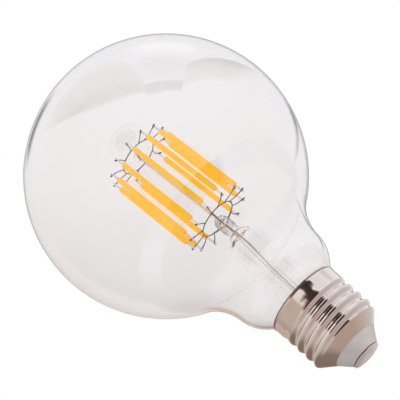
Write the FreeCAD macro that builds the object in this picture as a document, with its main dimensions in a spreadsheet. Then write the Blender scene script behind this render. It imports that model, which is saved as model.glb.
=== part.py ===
import FreeCAD, Part
import Sketcher
import math
import os

# Clear globe lamp: a blown globe, a glass stem with a cage of light-emitting filaments, and a screw cap.
# Millimetres and degrees. The lamp's axis is Z, with the centre contact's outer face at the origin
# and the globe at the top. The cage leans a little on its pinch, as a hand-sealed stem does.

SIZES = (
    # globe and neck
    ("globe_diameter", 95.0),
    ("glass_wall", 1.0),
    ("neck_diameter", 37.0),
    ("neck_taper", 7.0),
    ("neck_fillet", 19.0),
    ("neck_run", 1.1),
    ("shoulder_radius", 13.0),
    ("mouth_diameter", 23.4),
    ("neck_end", 23.4),
    # glass stem and exhaust tube
    ("stem_diameter", 11.4),
    ("stem_wall", 0.9),
    ("flare_radius", 10.0),
    ("flare_height", 34.0),
    ("stem_height", 54.0),
    ("stem_shoulder", 7.0),
    ("ceiling_rise", 3.0),
    ("stem_neck", 4.8),
    ("exhaust_diameter", 4.2),
    ("exhaust_wall", 0.9),
    ("exhaust_tip", 18.5),
    # pinch, post and bead, on the leaning cage axis; heights from the pinch
    ("pinch_rise", 11.6),
    ("pinch_offset", 0.95),
    ("cage_lean", 3.3),
    ("pinch_diameter", 5.0),
    ("pinch_depth", 6.5),
    ("pinch_top", 2.6),
    ("post_foot", 1.5),
    ("post_diameter", 1.6),
    ("bead_diameter", 3.4),
    # filaments
    ("filament_length", 38.0),
    ("filament_foot", 1.45),
    ("filament_circle", 24.6),
    ("filament_phase", 4.0),
    ("coat_length", 31.0),
    ("coat_diameter", 1.9),
    ("strip_width", 0.6),
    ("strip_thickness", 0.3),
    # wire frames and leads
    ("frame_wire", 0.42),
    ("prong_wire", 0.38),
    ("frame_circle", 14.0),
    ("knee_circle", 19.6),
    ("prong_circle", 27.2),
    ("prong_inset", 0.7),
    ("prong_bend", 1.2),
    ("spoke_foot", 0.9),
    ("spoke_drop", 1.2),
    ("lead_wire", 0.5),
    ("lead_bend", 6.0),
    # screw cap
    ("cap_rim", 28.0),
    ("rim_diameter", 26.7),
    ("rim_depth", 0.6),
    ("thread_major", 26.2),
    ("thread_minor", 24.2),
    ("thread_pitch", 3.629),
    ("thread_bottom", 6.42),
    ("thread_turns", 4.6),
    ("shell_wall", 0.3),
    ("skirt_step", 24.7),
    ("cone_height", 9.2),
    ("cone_diameter", 24.8),
    ("cone_bottom", 5.5),
    ("cone_mouth", 16.9),
    # insulator and centre contact
    ("contact_diameter", 10.2),
    ("contact_face", 3.2),
    ("contact_dome", 9.5),
    ("contact_rim", 0.15),
    ("contact_gap", 0.35),
    ("contact_seat", 7.8),
    ("nail_diameter", 2.4),
    ("nail_height", 7.2),
    ("insulator_tip", 10.4),
    ("insulator_floor", 6.4),
    ("insulator_well", 13.2),
    ("cup_height", 15.0),
    ("cup_wall", 0.9),
    # driver board and its parts
    ("board_height", 12.2),
    ("board_thickness", 1.0),
    ("ledge_width", 0.9),
    ("capacitor_diameter", 5.0),
    ("capacitor_height", 7.0),
    ("resistor_diameter", 2.2),
    ("resistor_length", 4.8),
    ("chip_length", 4.9),
    ("chip_width", 3.9),
    ("chip_height", 1.5),
    ("rectifier_length", 4.6),
    ("rectifier_width", 3.8),
    ("rectifier_height", 1.7),
    ("hookup_wire", 0.6),
    ("shell_wire_height", 17.0),
    # clearance between fitted pieces
    ("fit", 0.05),
)

# Filaments stand 30 degrees apart in places counted from +X. The place at the back, number 3, is empty.
# How far each prong's root lies behind its tip on the frame's ring, in degrees, by place.
PLACE_STEP = 30
NEAR_SWEEP = {0: 15, 1: 10, 2: 16, 4: -4, 5: -9, 6: 2, 7: 2, 8: 6, 9: 3, 10: 11, 11: 13}
FAR_SWEEP = {0: 12, 1: 14, 2: 16, 4: 8, 5: 14, 6: 12, 7: 14, 8: 9, 9: 6, 10: 6, 11: 14}

# Directions of the spokes that carry each ring.
NEAR_SPOKES = (271, 48, 128)
FAR_SPOKES = (274, 94)

# Places of the driver's parts on the board.
CAPACITOR_PLACE = (5.4, 3.2)
RESISTOR_PLACE = (-4.6, -7.2)
CHIP_PLACE = (3.5, -5.6)
RECTIFIER_PLACE = (-5.6, -2.4)
NEAR_LEAD_PLACE = (0.3, -2.9)
FAR_LEAD_PLACE = (-0.6, 3.2)
SHELL_WIRE_PLACE = (0.0, 9.0)

# Routes of the two leads inside the stem, with heights from the top of its straight tube.
NEAR_LEAD_ROUTE = ((0.3, -3.2, -28.0), (0.8, -3.3, -12.0), (1.6, -3.1, -1.5), (1.45, -1.6, 6.0))
FAR_LEAD_ROUTE = ((-0.6, 3.3, -28.0), (-0.3, 3.3, -12.0), (0.4, 3.1, -1.5), (1.3, 1.8, 6.0))

Vector = FreeCAD.Vector
Placement = FreeCAD.Placement
Rotation = FreeCAD.Rotation

doc = FreeCAD.newDocument("globe_lamp")
sheet = doc.addObject("Spreadsheet::Sheet", "Dims")
for row, (alias, size) in enumerate(SIZES, start=1):
    sheet.set(f"A{row}", alias)
    sheet.set(f"B{row}", str(size))
    sheet.setAlias(f"B{row}", alias)
doc.recompute()

nodes = []


def number(expression):
    """Value of an expression in the sheet's sizes."""
    return float(sheet.evalExpression(expression))


def node(thing, label):
    """Name a finished sub-part, so that it is checked and written."""
    thing.Label = label
    nodes.append(thing)
    return thing


def arc_between(start, end, radius, turn):
    """Arc from start to end; turn is 1 for counter-clockwise and -1 for clockwise."""
    chord = end - start
    half = chord.Length / 2
    across = Vector(-chord.y, chord.x, 0).normalize()
    centre = start + chord * 0.5 + across * (turn * math.sqrt(radius ** 2 - half ** 2))
    first, last = (start, end) if turn > 0 else (end, start)
    angles = [math.atan2(point.y - centre.y, point.x - centre.x) for point in (first, last)]
    return Part.ArcOfCircle(Part.Circle(centre, Vector(0, 0, 1), radius), *angles)


def bind(sketch, constraint, expression):
    """Add a sketch dimension that follows an expression."""
    index = sketch.addConstraint(constraint)
    sketch.setExpression(f"Constraints[{index}]", expression)


def profile(body, name, corners):
    """Closed sketch of radii and heights. Each corner is (radius, height, edge), where edge is None
    for a straight line to the next corner, or (radius, turn) for an arc; all sizes are expressions."""
    sketch = body.newObject("Sketcher::SketchObject", name)
    plane = next(plane for plane in body.Origin.OriginFeatures if plane.Role == "XZ_Plane")
    sketch.AttachmentSupport = (plane, [""])
    sketch.MapMode = "FlatFace"
    points = [Vector(number(across), number(up), 0) for across, up, _ in corners]
    count = len(corners)
    heads = []
    tails = []
    for index, (_, _, edge) in enumerate(corners):
        start = points[index]
        end = points[(index + 1) % count]
        if edge is None:
            sketch.addGeometry(Part.LineSegment(start, end), False)
        else:
            sketch.addGeometry(arc_between(start, end, number(edge[0]), edge[1]), False)
        backward = edge is not None and edge[1] < 0
        heads.append(2 if backward else 1)
        tails.append(1 if backward else 2)
    for index in range(count):
        following = (index + 1) % count
        sketch.addConstraint(
            Sketcher.Constraint("Coincident", index, tails[index], following, heads[following])
        )
    for index, (across, up, edge) in enumerate(corners):
        head = heads[index]
        if across == "0":
            sketch.addConstraint(Sketcher.Constraint("PointOnObject", index, head, -2))
        else:
            bind(sketch, Sketcher.Constraint("DistanceX", -1, 1, index, head, points[index].x), across)
        if up == "0":
            sketch.addConstraint(Sketcher.Constraint("PointOnObject", index, head, -1))
        else:
            bind(sketch, Sketcher.Constraint("DistanceY", -1, 1, index, head, points[index].y), up)
        if edge is not None:
            bind(sketch, Sketcher.Constraint("Radius", index, number(edge[0])), edge[0])
    return sketch


def turned(label, corners):
    """Body of revolution about Z from a closed profile."""
    body = doc.addObject("PartDesign::Body", label)
    sketch = profile(body, label + "_profile", corners)
    feature = body.newObject("PartDesign::Revolution", label + "_turn")
    feature.Profile = sketch
    feature.ReferenceAxis = (sketch, ["V_Axis"])
    feature.Angle = 360
    body.Tip = feature
    return body


def cylinder(label, radius, height, place):
    thing = doc.addObject("Part::Cylinder", label)
    thing.setExpression("Radius", radius)
    thing.setExpression("Height", height)
    thing.Placement = place
    return thing


def block(label, length, width, height, place):
    thing = doc.addObject("Part::Box", label)
    thing.setExpression("Length", length)
    thing.setExpression("Width", width)
    thing.setExpression("Height", height)
    thing.Placement = place
    return thing


def cut(label, base, *tools):
    """Base less the tools, one after the other."""
    for index, tool in enumerate(tools):
        thing = doc.addObject("Part::Cut", f"{label}_cut{index}")
        thing.Base = base
        thing.Tool = tool
        base = thing
    return base


def formed(label, shape, place):
    """Piece whose shape is made in code from the sheet's sizes."""
    thing = doc.addObject("Part::Feature", label)
    thing.Shape = shape
    thing.Placement = place
    return thing


def polar(radius, angle, height):
    turn = math.radians(angle)
    return Vector(radius * math.cos(turn), radius * math.sin(turn), height)


def rounded_path(points, bend):
    """Straight runs joined by tangent arcs, no larger than their runs allow."""
    edges = []
    here = points[0]
    for before, corner, after in zip(points, points[1:], points[2:]):
        incoming = before - corner
        outgoing = after - corner
        half = incoming.getAngle(outgoing) / 2
        reach = min(bend / math.tan(half), 0.45 * incoming.Length, 0.45 * outgoing.Length)
        radius = reach * math.tan(half)
        incoming.normalize()
        outgoing.normalize()
        inward = (incoming + outgoing).normalize()
        first = corner + incoming * reach
        middle = corner + inward * (radius / math.sin(half) - radius)
        last = corner + outgoing * reach
        edges.append(Part.LineSegment(here, first).toShape())
        edges.append(Part.Arc(first, middle, last).toShape())
        here = last
    edges.append(Part.LineSegment(here, points[-1]).toShape())
    return Part.Wire(edges)


def bent_wire(points, diameter, bend):
    """Round wire along a route of points."""
    section = Part.Wire(Part.makeCircle(diameter / 2, points[0], points[1] - points[0]))
    return rounded_path(points, bend).makePipeShell([section], True, False)


def straight_wire(start, end, diameter):
    return Part.makeCylinder(diameter / 2, (end - start).Length, start, end - start)


AT_ORIGIN = Placement()
FIT = number("Dims.fit")

# Globe and neck: mouth, round shoulder, short taper, hollow fillet and sphere, all of one wall thickness.
# The shoulder meets the mouth at the cap's rim, and each form above it is tangent to the one below.
RUN_R = "(Dims.neck_diameter / 2 - Dims.neck_run * sin(Dims.neck_taper))"
SHOULDER_R = f"({RUN_R} - Dims.shoulder_radius * cos(Dims.neck_taper))"
SHOULDER_DROP = f"sqrt(Dims.shoulder_radius ^ 2 - (Dims.mouth_diameter / 2 - {SHOULDER_R}) ^ 2)"
SHOULDER_Z = f"(Dims.cap_rim + {SHOULDER_DROP})"
RUN_Z = f"({SHOULDER_Z} - Dims.shoulder_radius * sin(Dims.neck_taper))"
NECK_Z = f"({RUN_Z} + Dims.neck_run * cos(Dims.neck_taper))"
FILLET_R = "(Dims.neck_diameter / 2 + Dims.neck_fillet * cos(Dims.neck_taper))"
FILLET_Z = f"({NECK_Z} - Dims.neck_fillet * sin(Dims.neck_taper))"
REACH = "(Dims.globe_diameter / 2 + Dims.neck_fillet)"
RISE = f"sqrt({REACH} ^ 2 - {FILLET_R} ^ 2)"
GLOBE_Z = f"({FILLET_Z} + {RISE})"


def envelope_line(depth):
    """Corners from the globe's top to the mouth, at a depth below the outer skin."""
    globe = f"(Dims.globe_diameter / 2 - {depth})"
    fillet = f"(Dims.neck_fillet + {depth})"
    shoulder = f"(Dims.shoulder_radius - {depth})"
    mouth = f"(Dims.mouth_diameter / 2 - {depth})"
    side = f"{depth} * cos(Dims.neck_taper)"
    drop = f"{depth} * sin(Dims.neck_taper)"
    return [
        ("0", f"{GLOBE_Z} + {globe}", (globe, -1)),
        (f"{FILLET_R} * {globe} / {REACH}", f"{GLOBE_Z} - {RISE} * {globe} / {REACH}", (fillet, 1)),
        (f"Dims.neck_diameter / 2 - {side}", f"{NECK_Z} + {drop}", None),
        (f"{RUN_R} - {side}", f"{RUN_Z} + {drop}", (shoulder, -1)),
        (mouth, f"{SHOULDER_Z} - sqrt({shoulder} ^ 2 - ({mouth} - {SHOULDER_R}) ^ 2)", None),
        (mouth, "Dims.neck_end", None),
    ]


def backward(corners):
    """The same corners walked the other way."""
    edges = [edge and (edge[0], -edge[1]) for _, _, edge in corners[:-1]]
    return [(r, z, edge) for (r, z, _), edge in zip(corners[::-1], edges[::-1] + [None])]


envelope_corners = envelope_line("0") + backward(envelope_line("Dims.glass_wall"))
node(turned("glass_envelope_body", envelope_corners), "glass_envelope")

# Stem: lip and flare inside the neck, straight tube, and a round shoulder up to the pinch.
STEM_R = "Dims.stem_diameter / 2"
LIP_R = "(Dims.mouth_diameter / 2 - Dims.glass_wall - Dims.fit)"
FLARE_R = f"({STEM_R} + Dims.flare_radius)"
SHOULDER_AXIS = f"({STEM_R} - Dims.stem_shoulder)"
INNER_FLARE = "(Dims.flare_radius + Dims.stem_wall)"
INNER_SHOULDER = "(Dims.stem_shoulder - Dims.stem_wall)"
STEM_TOP = f"Dims.stem_height + sqrt(Dims.stem_shoulder ^ 2 - (Dims.stem_neck / 2 - {SHOULDER_AXIS}) ^ 2)"
CEILING_Z = "(Dims.stem_height + Dims.ceiling_rise)"
CEILING_R = f"{SHOULDER_AXIS} + sqrt({INNER_SHOULDER} ^ 2 - Dims.ceiling_rise ^ 2)"
stem_body = turned("stem_body", [
    (LIP_R, "Dims.neck_end", None),
    (LIP_R, f"Dims.flare_height - sqrt(Dims.flare_radius ^ 2 - ({FLARE_R} - {LIP_R}) ^ 2)",
     ("Dims.flare_radius", -1)),
    (STEM_R, "Dims.flare_height", None),
    (STEM_R, "Dims.stem_height", ("Dims.stem_shoulder", 1)),
    ("Dims.stem_neck / 2", STEM_TOP, None),
    ("0", STEM_TOP, None),
    ("0", CEILING_Z, None),
    (CEILING_R, CEILING_Z, (INNER_SHOULDER, -1)),
    (f"{STEM_R} - Dims.stem_wall", "Dims.stem_height", None),
    (f"{STEM_R} - Dims.stem_wall", "Dims.flare_height", (INNER_FLARE, 1)),
    (f"{LIP_R} - Dims.stem_wall",
     f"Dims.flare_height - sqrt({INNER_FLARE} ^ 2 - ({FLARE_R} - {LIP_R} + Dims.stem_wall) ^ 2)", None),
    (f"{LIP_R} - Dims.stem_wall", "Dims.neck_end", None),
])

# Exhaust tube: open into the stem's top, sealed to a round tip above the driver board.
EXHAUST_R = "Dims.exhaust_diameter / 2"
BORE_R = f"({EXHAUST_R} - Dims.exhaust_wall)"
exhaust = turned("exhaust_body", [
    ("0", "Dims.exhaust_tip", (EXHAUST_R, 1)),
    (EXHAUST_R, f"Dims.exhaust_tip + {EXHAUST_R}", None),
    (EXHAUST_R, f"{CEILING_Z} - Dims.fit", None),
    (BORE_R, f"{CEILING_Z} - Dims.fit", None),
    (BORE_R, f"Dims.exhaust_tip + {EXHAUST_R} + {BORE_R}", (BORE_R, -1)),
    ("0", f"Dims.exhaust_tip + {EXHAUST_R}", None),
])
node(exhaust, "exhaust_tube")

# The cage's own frame, and heights in it measured from the pinch.
cage = Placement(
    Vector(number("Dims.pinch_offset"), 0, number("Dims.stem_height + Dims.pinch_rise")),
    Rotation(Vector(0, 1, 0), -number("Dims.cage_lean")),
)
FILAMENT_FOOT = number("Dims.filament_foot")
NEAR_LEVEL = number("Dims.filament_foot + Dims.prong_inset")
FAR_LEVEL = number("Dims.filament_foot + Dims.filament_length - Dims.prong_inset")


def in_cage(height):
    return cage.multiply(Placement(Vector(0, 0, height), Rotation()))


def place_angle(place):
    return number("Dims.filament_phase") + place * PLACE_STEP


places = sorted(NEAR_SWEEP)


def wire_ring(level, sweep):
    """Ring with one prong for each filament, and each prong bent to pass beside its tab."""
    ring_r = number("Dims.frame_circle / 2")
    knee_r = number("Dims.knee_circle / 2")
    tip_r = number("Dims.prong_circle / 2")
    aside = number("(Dims.strip_thickness + Dims.prong_wire) / 2 + Dims.fit")
    ring = Part.makeTorus(ring_r, number("Dims.frame_wire / 2"), Vector(0, 0, level))
    prongs = []
    for place in places:
        angle = place_angle(place)
        beside = polar(aside, angle - 90, 0)
        route = [
            polar(ring_r, angle - sweep[place], level),
            polar(knee_r, angle, level) + beside,
            polar(tip_r, angle, level) + beside,
        ]
        prongs.append(bent_wire(route, number("Dims.prong_wire"), number("Dims.prong_bend")))
    return ring, prongs


def spokes_of(level, angles, diameter):
    """Near spokes, from their feet in the pinch out to the ring."""
    foot_r = number("Dims.spoke_foot")
    foot_z = -number("Dims.spoke_drop")
    ring_r = number("Dims.frame_circle / 2")
    return [straight_wire(polar(foot_r, angle, foot_z), polar(ring_r, angle, level), diameter)
            for angle in angles]


PRONG_WIRE = number("Dims.prong_wire")
near_ring, near_prongs = wire_ring(NEAR_LEVEL, NEAR_SWEEP)
near_shape = near_ring.multiFuse(near_prongs + spokes_of(NEAR_LEVEL, NEAR_SPOKES, PRONG_WIRE))
near_frame = node(formed("near_frame_shape", near_shape, cage), "near_ring_frame")

ring_edge = number("Dims.frame_circle / 2")
far_ends = [polar(ring_edge, angle, FAR_LEVEL) for angle in FAR_SPOKES]
far_ring, far_prongs = wire_ring(FAR_LEVEL, FAR_SWEEP)
far_shape = far_ring.multiFuse(far_prongs + [straight_wire(*far_ends, PRONG_WIRE)])
far_frame = node(formed("far_frame_shape", far_shape, cage), "far_ring_frame")

# Leads: both rise from the board through the stem. One ends at the front spoke's foot in the pinch,
# the other turns onto the cage's axis and runs up the post to the far ring.
LEAD = number("Dims.lead_wire")
BEND = number("Dims.lead_bend")
BOARD_TOP = number("Dims.board_height + Dims.board_thickness + 2 * Dims.fit")
weld = LEAD + 2 * FIT
near_end = polar(number("Dims.spoke_foot"), NEAR_SPOKES[0], -number("Dims.spoke_drop") - weld)
tube_top = Vector(0, 0, number("Dims.stem_height"))
near_route = [Vector(*NEAR_LEAD_PLACE, BOARD_TOP)]
near_route += [Vector(*point) + tube_top for point in NEAR_LEAD_ROUTE]
near_route.append(cage.multVec(near_end))
far_route = [Vector(*FAR_LEAD_PLACE, BOARD_TOP)]
far_route += [Vector(*point) + tube_top for point in FAR_LEAD_ROUTE]
far_route.append(cage.multVec(Vector(0, 0, -2 * number("Dims.spoke_drop"))))
far_route.append(cage.multVec(Vector(0, 0, FAR_LEVEL - weld)))
near_lead = node(formed("near_lead_shape", bent_wire(near_route, LEAD, BEND), AT_ORIGIN), "near_lead")
far_lead = node(formed("far_lead_shape", bent_wire(far_route, LEAD, BEND), AT_ORIGIN), "far_lead")

# Sockets of the wires in the glass.
SOCKET = 2 * FIT
near_way = formed("near_lead_socket", bent_wire(near_route, LEAD + SOCKET, BEND), AT_ORIGIN)
far_way = formed("far_lead_socket", bent_wire(far_route, LEAD + SOCKET, BEND), AT_ORIGIN)
spoke_ways = [
    formed(f"near_spoke_socket_{index}", shape, cage)
    for index, shape in enumerate(spokes_of(NEAR_LEVEL, NEAR_SPOKES, PRONG_WIRE + SOCKET))
]
bead_way = formed("far_spoke_socket", straight_wire(*far_ends, PRONG_WIRE + SOCKET), cage)

# Centre post: a glass rod drawn round the far lead, with a bead that holds the far ring's spoke.
POST_R = "Dims.post_diameter / 2"
WAY_R = "(Dims.lead_wire / 2 + Dims.fit)"
BEAD_R = "Dims.bead_diameter / 2"
BEAD_Z = "(Dims.filament_foot + Dims.filament_length - Dims.prong_inset - Dims.post_foot)"
post_body = turned("post_body", [
    (WAY_R, "0", None),
    (POST_R, "0", None),
    (POST_R, f"{BEAD_Z} - sqrt(({BEAD_R}) ^ 2 - ({POST_R}) ^ 2)", (BEAD_R, 1)),
    ("0", f"{BEAD_Z} + {BEAD_R}", None),
    ("0", BEAD_Z, None),
    (WAY_R, BEAD_Z, None),
])
post_body.Placement = in_cage(number("Dims.post_foot"))
node(cut("centre_post", post_body, bead_way), "centre_post")

# Pinch: the stem's closed end, which holds both leads, the spokes and the post.
PINCH_R = "Dims.pinch_diameter / 2"
PINCH_Z = "(Dims.pinch_depth + Dims.pinch_top)"
pinch_body = turned("pinch_body", [
    ("0", "0", None),
    ("Dims.stem_neck / 2", "0", None),
    (PINCH_R, f"{PINCH_Z} - {PINCH_R} - Dims.pinch_top", None),
    (PINCH_R, f"{PINCH_Z} - {PINCH_R}", (PINCH_R, 1)),
    ("0", PINCH_Z, None),
])
pinch_body.Placement = in_cage(-number("Dims.pinch_depth"))
post_way = cylinder(
    "post_socket", f"{POST_R} + Dims.fit", "Dims.pinch_top", in_cage(number("Dims.post_foot - Dims.fit"))
)
stem_whole = doc.addObject("Part::Fuse", "stem_whole")
stem_whole.Base = stem_body
stem_whole.Tool = pinch_body
node(cut("stem_glass", stem_whole, post_way, near_way, far_way, *spoke_ways), "stem_glass")

# Filaments: a metal-tabbed strip, and a round phosphor coat moulded over its middle.
for index, place in enumerate(places, start=1):
    turn = Placement(Vector(0, 0, 0), Rotation(Vector(0, 0, 1), place_angle(place)))
    centre_r = number("Dims.filament_circle / 2")
    half_width = number("Dims.strip_width / 2")
    half_thickness = number("Dims.strip_thickness / 2")
    coat_foot = number("Dims.filament_foot + (Dims.filament_length - Dims.coat_length) / 2")
    strip_corner = Vector(centre_r - half_width, -half_thickness, FILAMENT_FOOT)
    bore_corner = Vector(centre_r - half_width - FIT, -half_thickness - FIT, FILAMENT_FOOT)
    strip_place = cage.multiply(turn.multiply(Placement(strip_corner, Rotation())))
    bore_place = cage.multiply(turn.multiply(Placement(bore_corner, Rotation())))
    coat_place = cage.multiply(turn.multiply(Placement(Vector(centre_r, 0, coat_foot), Rotation())))
    strip = block(
        f"strip_{index:02d}", "Dims.strip_width", "Dims.strip_thickness", "Dims.filament_length", strip_place
    )
    bore = block(
        f"coat_bore_{index:02d}", "Dims.strip_width + 2 * Dims.fit",
        "Dims.strip_thickness + 2 * Dims.fit", "Dims.filament_length", bore_place
    )
    sleeve = cylinder(f"coat_sleeve_{index:02d}", "Dims.coat_diameter / 2", "Dims.coat_length", coat_place)
    node(strip, f"filament_{index:02d}_strip")
    node(cut(f"coat_{index:02d}", sleeve, bore), f"filament_{index:02d}_coat")

# Cap shell: one drawn sheet with a rim bead, plain skirt, cone, and a rolled right-hand thread.
MAJOR_R = "Dims.thread_major / 2"
MINOR_R = "Dims.thread_minor / 2"
SHELL_R = f"({MINOR_R} - Dims.shell_wall)"
SKIRT_R = f"({MAJOR_R} - Dims.shell_wall)"
MOUTH_R = "Dims.cone_mouth / 2"
SLOPE = f"((Dims.cone_height - Dims.cone_bottom) / (Dims.cone_diameter / 2 - {MOUTH_R}))"
SHEET_Z = f"(Dims.shell_wall * sqrt(1 + {SLOPE} ^ 2))"
shell = turned("cap_shell_body", [
    (SKIRT_R, "Dims.cap_rim", None),
    ("Dims.rim_diameter / 2", "Dims.cap_rim", None),
    ("Dims.rim_diameter / 2", "Dims.cap_rim - Dims.rim_depth", None),
    (MAJOR_R, "Dims.cap_rim - 1.5 * Dims.rim_depth", None),
    (MAJOR_R, f"Dims.cone_height + {MAJOR_R} - Dims.cone_diameter / 2", None),
    ("Dims.cone_diameter / 2", "Dims.cone_height", None),
    (MOUTH_R, "Dims.cone_bottom", None),
    (MOUTH_R, f"Dims.cone_bottom + {SHEET_Z}", None),
    (SHELL_R, f"Dims.cone_bottom + {SHEET_Z} + ({SHELL_R} - {MOUTH_R}) * {SLOPE}", None),
    (SHELL_R, "Dims.skirt_step", None),
    (SKIRT_R, f"Dims.skirt_step + {SKIRT_R} - {SHELL_R}", None),
])
DEPTH = f"({MAJOR_R} - {MINOR_R})"
groove_half = [
    (f"{MAJOR_R} + Dims.fit", 0.455),
    (f"{MAJOR_R} - 0.3 * {DEPTH}", 0.315),
    (f"{MINOR_R} + 0.3 * {DEPTH}", 0.205),
    (MINOR_R, 0.085),
]
groove_corners = [(r, f"Dims.thread_bottom + {share} * Dims.thread_pitch", None) for r, share in groove_half]
groove_corners += [
    (r, f"Dims.thread_bottom - {share} * Dims.thread_pitch", None) for r, share in reversed(groove_half)
]
groove_sketch = profile(shell, "groove_profile", groove_corners)
groove = shell.newObject("PartDesign::SubtractiveHelix", "groove")
groove.Profile = groove_sketch
groove.ReferenceAxis = (groove_sketch, ["V_Axis"])
groove.Mode = 0
groove.setExpression("Pitch", "Dims.thread_pitch")
groove.setExpression("Height", "Dims.thread_pitch * Dims.thread_turns")
groove.Angle = 0
groove.LeftHanded = False
groove.Reversed = False
shell.Tip = groove
node(shell, "cap_shell")

# Basing cement between the neck and the skirt.
cement = turned("cement_body", [
    ("Dims.mouth_diameter / 2 + Dims.fit", f"Dims.skirt_step + {SKIRT_R} - {SHELL_R}", None),
    (f"{SKIRT_R} - Dims.fit", f"Dims.skirt_step + {SKIRT_R} - {SHELL_R}", None),
    (f"{SKIRT_R} - Dims.fit", "Dims.cap_rim - 2 * Dims.fit", None),
    ("Dims.mouth_diameter / 2 + Dims.fit", "Dims.cap_rim - 2 * Dims.fit", None),
])
node(cement, "basing_cement")

# Insulator: the white cone below the shell, and a cup inside it whose ledge carries the board.
HOLE_R = "(Dims.nail_diameter / 2 + Dims.fit)"
CONTACT_R = "Dims.contact_diameter / 2"
FACE_R = "Dims.contact_face / 2"
RIM_Z = f"(Dims.contact_dome - sqrt(Dims.contact_dome ^ 2 - ({CONTACT_R} - {FACE_R}) ^ 2))"
RIM_TOP = f"({RIM_Z} + Dims.contact_rim)"
SEAT_Z = f"({RIM_TOP} + Dims.contact_gap)"
TIP_Z = f"({SEAT_Z} + Dims.fit)"
THROAT_R = f"({MOUTH_R} - Dims.fit)"
CUP_R = f"({SHELL_R} - 2 * Dims.fit)"
CUP_BORE = f"({CUP_R} - Dims.cup_wall)"
FLANGE_Z = f"(Dims.cone_bottom + {SHEET_Z} + 2 * Dims.fit)"
LEDGE_R = f"({CUP_BORE} - Dims.ledge_width)"
insulator = turned("insulator_body", [
    (HOLE_R, TIP_Z, None),
    ("Dims.insulator_tip / 2", TIP_Z, None),
    (THROAT_R, "Dims.cone_bottom", None),
    (THROAT_R, FLANGE_Z, None),
    (CUP_R, f"{FLANGE_Z} + ({CUP_R} - {MOUTH_R}) * {SLOPE}", None),
    (CUP_R, "Dims.cup_height", None),
    (CUP_BORE, "Dims.cup_height", None),
    (CUP_BORE, "Dims.board_height", None),
    (LEDGE_R, "Dims.board_height", None),
    (LEDGE_R, f"Dims.insulator_floor + {LEDGE_R} - Dims.insulator_well / 2", None),
    ("Dims.insulator_well / 2", "Dims.insulator_floor", None),
    (HOLE_R, "Dims.insulator_floor", None),
])
node(insulator, "cap_insulator")

# Centre contact: a domed disc on a smaller seat, with a nail through the insulator. A narrow gap
# runs round it between the disc's rim and the insulator.
contact = turned("contact_body", [
    ("0", "0", None),
    (FACE_R, "0", ("Dims.contact_dome", 1)),
    (CONTACT_R, RIM_Z, None),
    (CONTACT_R, RIM_TOP, None),
    ("Dims.contact_seat / 2", RIM_TOP, None),
    ("Dims.contact_seat / 2", SEAT_Z, None),
    ("Dims.nail_diameter / 2", SEAT_Z, None),
    ("Dims.nail_diameter / 2", "Dims.nail_height", None),
    ("0", "Dims.nail_height", None),
])
node(contact, "centre_contact")

# Driver board on the cup's ledge, its parts, and the wires to the contact and the shell.
BOARD_Z = number("Dims.board_height + Dims.fit")
board = cylinder(
    "board", f"{CUP_BORE} - Dims.fit", "Dims.board_thickness", Placement(Vector(0, 0, BOARD_Z), Rotation())
)
node(board, "driver_board")


def on_board(centre, length=0.0, width=0.0, lift=0.0):
    """Placement on the board of a piece's corner, for a piece of that length and width round its centre."""
    return Placement(Vector(centre[0] - length / 2, centre[1] - width / 2, BOARD_TOP + lift), Rotation())


capacitor = cylinder(
    "capacitor", "Dims.capacitor_diameter / 2", "Dims.capacitor_height", on_board(CAPACITOR_PLACE)
)
node(capacitor, "smoothing_capacitor")
chip_place = on_board(CHIP_PLACE, number("Dims.chip_length"), number("Dims.chip_width"))
node(block("chip", "Dims.chip_length", "Dims.chip_width", "Dims.chip_height", chip_place), "driver_chip")
rectifier_place = on_board(
    RECTIFIER_PLACE, number("Dims.rectifier_length"), number("Dims.rectifier_width")
)
rectifier = block(
    "rectifier", "Dims.rectifier_length", "Dims.rectifier_width", "Dims.rectifier_height", rectifier_place
)
node(rectifier, "bridge_rectifier")
resistor_place = on_board(RESISTOR_PLACE, lift=number("Dims.resistor_diameter / 2"))
resistor_place.Rotation = Rotation(Vector(0, 1, 0), 90)
resistor = cylinder("resistor", "Dims.resistor_diameter / 2", "Dims.resistor_length", resistor_place)
node(resistor, "fusible_resistor")

NAIL_TOP = number("Dims.nail_height + Dims.fit")
contact_wire = cylinder(
    "contact_lead", "Dims.hookup_wire / 2", "Dims.board_height - Dims.nail_height - Dims.fit",
    Placement(Vector(0, 0, NAIL_TOP), Rotation())
)
node(contact_wire, "contact_wire")
shell_route = [
    Vector(*SHELL_WIRE_PLACE, BOARD_TOP),
    Vector(*SHELL_WIRE_PLACE, number("Dims.shell_wire_height")),
    Vector(0, number(f"{SHELL_R} - Dims.fit"), number("Dims.shell_wire_height")),
]
shell_shape = bent_wire(shell_route, number("Dims.hookup_wire"), number("Dims.prong_bend"))
node(formed("shell_lead", shell_shape, AT_ORIGIN), "shell_wire")

doc.recompute()
for thing in doc.Objects:
    if "Invalid" in thing.State or "Error" in thing.State:
        raise RuntimeError(f"{thing.Label} did not build: {thing.State}")
os.makedirs("parts", exist_ok=True)
for thing in nodes:
    if thing.Shape.isNull() or not thing.Shape.isValid():
        raise RuntimeError(f"{thing.Label} has no valid shape")
    thing.Shape.exportStep(f"parts/{thing.Label}.step")
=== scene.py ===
"""Looks of the clear globe lamp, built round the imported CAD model.

Sizes of the lamp are in millimetres and those of its stage in metres. Angles are in degrees where no
other unit is said.
"""

import math

import bmesh
import bpy
from mathutils import Matrix, Vector


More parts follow.
